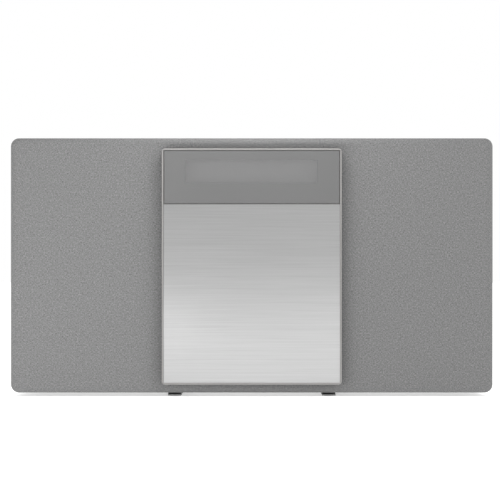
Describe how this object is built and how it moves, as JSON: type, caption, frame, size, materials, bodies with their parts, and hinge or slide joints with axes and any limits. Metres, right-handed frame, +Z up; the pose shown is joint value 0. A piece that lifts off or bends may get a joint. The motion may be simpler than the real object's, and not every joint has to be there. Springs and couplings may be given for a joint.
{
  "type": "mini hi-fi system",
  "caption": "Slim upright stereo with cloth-covered speakers either side of a sliding motor-driven disc door.",
  "frame": {"origin": "middle of the footprint, on the table that the stand rests on", "axes": "+X to the listener's right, +Y to the back, +Z up; the door and cloth face -Y"},
  "size_m": [0.41, 0.116, 0.2195],
  "materials": {
    "speaker_cloth": "woven, matte",
    "black_plastic": "fine spark texture",
    "gloss_black": "polished",
    "lcd_glass": "polarised film over glass",
    "circuit_board": "solder resist",
    "door_plastic": "satin silver paint",
    "smoked_window": "polished acrylic",
    "brushed_aluminium": "brushed across",
    "steel": "zinc plated",
    "gear_plastic": "acetal",
    "brass": "turned",
    "rubber": "matte",
    "lens_glass": "coated",
    "basket_steel": "black coating",
    "magnet": "sintered ferrite and plated steel",
    "spider_cloth": "resin-dipped cotton",
    "cone_paper": "pressed pulp",
    "cabinet_plastic": "fine texture",
    "sink_aluminium": "extruded",
    "connector_metal": "nickel plated",
    "stand_plastic": "satin",
    "key_plastic": "satin silver"
  },
  "bodies": {
    "cabinet": {"grille_cloth": "speaker_cloth", "grille_frame": "black_plastic", "front_chassis": "black_plastic", "centre_panel": "gloss_black", "disc_well": "gloss_black", "display_lcd": "lcd_glass", "display_board": "circuit_board", "door_motor": "steel", "door_belt": "rubber", "door_rails": "steel", "gear_posts": "steel", "traverse_chassis": "steel", "damper_bushes": "rubber", "spindle_motor": "steel", "sled_rods": "steel", "sled_motor": "steel", "speaker_baskets": "basket_steel", "speaker_magnets": "magnet", "speaker_surrounds": "rubber", "speaker_spiders": "spider_cloth", "speaker_tubs": "black_plastic", "key_board": "circuit_board", "key_switches": "black_plastic", "rear_cabinet": "cabinet_plastic", "main_board": "circuit_board", "transformer": "magnet", "heat_sink": "sink_aluminium", "ac_inlet": "black_plastic", "antenna_terminal": "connector_metal", "usb_port": "connector_metal", "headphone_jack": "black_plastic", "stand": "stand_plastic", "stand_pads": "rubber", "cabinet_screws": "steel", "chassis_screws": "steel"},
    "door": {"door_frame": "door_plastic", "door_window": "smoked_window", "door_trim_plate": "brushed_aluminium", "door_screws": "steel", "lower_carriage": "gear_plastic", "upper_carriage": "gear_plastic"},
    "drive_gear": {"door_drive_gear": "gear_plastic"},
    "pulley_gear": {"door_pulley_gear": "gear_plastic"},
    "motor_pulley": {"door_motor_pulley": "brass"},
    "platter": {"turntable": "gloss_black"},
    "pickup": {"pickup_sled": "black_plastic", "objective_lens": "lens_glass"},
    "feed_gear": {"sled_gear": "gear_plastic"},
    "feed_pinion": {"sled_motor_pinion": "brass"},
    "left_driver": {"left_cone": "cone_paper"},
    "right_driver": {"right_cone": "cone_paper"},
    "power_key": {"key_power": "key_plastic"},
    "source_key": {"key_source": "key_plastic"},
    "pairing_key": {"key_pairing": "key_plastic"},
    "volume_down_key": {"key_volume_down": "key_plastic"},
    "volume_up_key": {"key_volume_up": "key_plastic"},
    "previous_key": {"key_previous": "key_plastic"},
    "next_key": {"key_next": "key_plastic"},
    "play_stop_key": {"key_play_stop": "key_plastic"},
    "open_close_key": {"key_open_close": "key_plastic"}
  },
  "joints": [
    {"name": "door_slide", "type": "slide", "parent": "cabinet", "child": "door", "axis": [1, 0, 0], "range_m": [0, 0.129]},
    {"name": "door_drive_spin", "type": "hinge", "parent": "cabinet", "child": "drive_gear", "pos_m": [0.058, -0.033, 0.034], "axis": [0, -1, 0], "continuous": true},
    {"name": "door_pulley_spin", "type": "hinge", "parent": "cabinet", "child": "pulley_gear", "pos_m": [0.0684, -0.029, 0.05201], "axis": [0, 1, 0], "continuous": true},
    {"name": "door_motor_spin", "type": "hinge", "parent": "cabinet", "child": "motor_pulley", "pos_m": [0.1084, -0.028, 0.05201], "axis": [0, 1, 0], "continuous": true},
    {"name": "disc_spin", "type": "hinge", "parent": "cabinet", "child": "platter", "pos_m": [-0.009, -0.044, 0.097], "axis": [0, -1, 0], "continuous": true},
    {"name": "disc_pickup", "type": "slide", "parent": "cabinet", "child": "pickup", "axis": [1, 0, 0], "range_m": [0, 0.034]},
    {"name": "feed_gear_spin", "type": "hinge", "parent": "cabinet", "child": "feed_gear", "pos_m": [0.024, -0.03, 0.1314], "axis": [0, -1, 0], "continuous": true},
    {"name": "feed_pinion_spin", "type": "hinge", "parent": "cabinet", "child": "feed_pinion", "pos_m": [0.024, -0.027, 0.1522], "axis": [0, 1, 0], "continuous": true},
    {"name": "cone_left", "type": "slide", "parent": "cabinet", "child": "left_driver", "axis": [0, -1, 0], "range_m": [-0.002, 0.002], "stiffness_N_per_m": 1500},
    {"name": "cone_right", "type": "slide", "parent": "cabinet", "child": "right_driver", "axis": [0, -1, 0], "range_m": [-0.002, 0.002], "stiffness_N_per_m": 1500},
    {"name": "key_power", "type": "slide", "parent": "cabinet", "child": "power_key", "axis": [0, 0, -1], "range_m": [0, 0.0005], "stiffness_N_per_m": 2000},
    {"name": "key_source", "type": "slide", "parent": "cabinet", "child": "source_key", "axis": [0, 0, -1], "range_m": [0, 0.0005], "stiffness_N_per_m": 2000},
    {"name": "key_pairing", "type": "slide", "parent": "cabinet", "child": "pairing_key", "axis": [0, 0, -1], "range_m": [0, 0.0005], "stiffness_N_per_m": 2000},
    {"name": "key_volume_down", "type": "slide", "parent": "cabinet", "child": "volume_down_key", "axis": [0, 0, -1], "range_m": [0, 0.0005], "stiffness_N_per_m": 2000},
    {"name": "key_volume_up", "type": "slide", "parent": "cabinet", "child": "volume_up_key", "axis": [0, 0, -1], "range_m": [0, 0.0005], "stiffness_N_per_m": 2000},
    {"name": "key_previous", "type": "slide", "parent": "cabinet", "child": "previous_key", "axis": [0, 0, -1], "range_m": [0, 0.0005], "stiffness_N_per_m": 2000},
    {"name": "key_next", "type": "slide", "parent": "cabinet", "child": "next_key", "axis": [0, 0, -1], "range_m": [0, 0.0005], "stiffness_N_per_m": 2000},
    {"name": "key_play_stop", "type": "slide", "parent": "cabinet", "child": "play_stop_key", "axis": [0, 0, -1], "range_m": [0, 0.0005], "stiffness_N_per_m": 2000},
    {"name": "key_open_close", "type": "slide", "parent": "cabinet", "child": "open_close_key", "axis": [0, 0, -1], "range_m": [0, 0.0005], "stiffness_N_per_m": 2000}
  ],
  "couplings": [
    {"joint": "door_drive_spin", "follows": "door_slide", "rad_per_m": 111.11},
    {"joint": "door_pulley_spin", "follows": "door_slide", "rad_per_m": 250},
    {"joint": "door_motor_spin", "follows": "door_slide", "rad_per_m": 618.42},
    {"joint": "feed_gear_spin", "follows": "disc_pickup", "rad_per_m": 156.25},
    {"joint": "feed_pinion_spin", "follows": "disc_pickup", "rad_per_m": 351.56}
  ]
}
